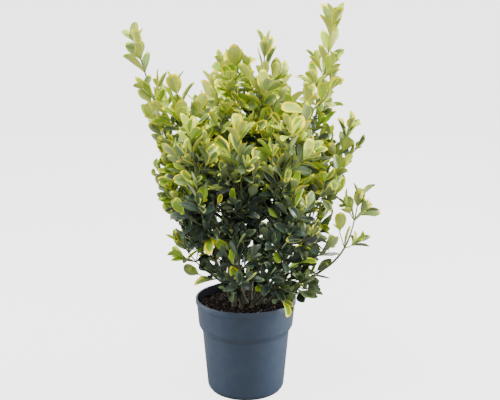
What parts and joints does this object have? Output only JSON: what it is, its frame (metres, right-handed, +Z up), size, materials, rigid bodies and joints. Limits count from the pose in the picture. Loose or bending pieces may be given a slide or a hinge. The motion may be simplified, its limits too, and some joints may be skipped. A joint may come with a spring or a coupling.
{
  "type": "potted wintercreeper",
  "caption": "Young evergreen wintercreeper shrub with upright, yellow-edged leafy shoots from a low clump of stems, in a round tapered plastic nursery pot filled with compost.",
  "frame": {"origin": "centre of the pot's flat underside, on the surface that it stands on", "axes": "+Z up, towards the tips of the shoots; -Y towards the front, the side that the picture shows; +X to the right seen from the front"},
  "size_m": [0.4782, 0.3906, 0.7327],
  "materials": {
    "pot_plastic": "moulded dark blue-grey plastic, satin",
    "compost": "moist dark potting compost with bark fibres",
    "bark": "grey-brown to green finely lined young bark",
    "foliage": "waxy green leaves with yellow edges"
  },
  "bodies": {
    "root": {"pot": "pot_plastic", "compost": "compost", "stem_left_top": "bark", "stem_left_leader": "bark", "stem_right_leader": "bark", "stem_middle_leader": "bark", "stem_right_inner_top": "bark", "stem_front_centre": "bark", "stem_right_side": "bark", "stem_back_left": "bark", "stem_back_right": "bark", "bough_midleft_leader": "bark", "bough_left_mid_top": "bark", "bough_right_mid_top": "bark", "bough_left_side_up": "bark", "bough_left_side_mid": "bark", "bough_front_left_up": "bark", "bough_front_left_low": "bark", "bough_front_right_up": "bark", "bough_front_right_low": "bark", "bough_right_mid": "bark", "bough_right_lower": "bark", "bough_back_right_side": "bark", "bough_back_left_side": "bark", "bough_back_mid": "bark", "foliage_left_top": "foliage", "foliage_left_leader": "foliage", "foliage_right_leader": "foliage", "foliage_middle_leader": "foliage", "foliage_right_inner_top": "foliage", "foliage_front_centre": "foliage", "foliage_right_side": "foliage", "foliage_back_left": "foliage", "foliage_back_right": "foliage", "foliage_midleft_leader": "foliage", "foliage_left_mid_top": "foliage", "foliage_right_mid_top": "foliage", "foliage_left_side_up": "foliage", "foliage_left_side_mid": "foliage", "foliage_front_left_up": "foliage", "foliage_front_left_low": "foliage", "foliage_front_right_up": "foliage", "foliage_front_right_low": "foliage", "foliage_right_mid": "foliage", "foliage_right_lower": "foliage", "foliage_back_right_side": "foliage", "foliage_back_left_side": "foliage", "foliage_back_mid": "foliage", "foliage_left_low": "foliage", "foliage_left_twig": "foliage", "foliage_low_left": "foliage", "foliage_low_front": "foliage", "foliage_low_front_right": "foliage", "foliage_low_right": "foliage", "foliage_low_right_side": "foliage", "foliage_low_middle": "foliage", "foliage_right_low": "foliage", "foliage_back_low_left": "foliage", "foliage_back_low_right": "foliage", "foliage_back_low_mid": "foliage"}
  },
  "joints": []
}
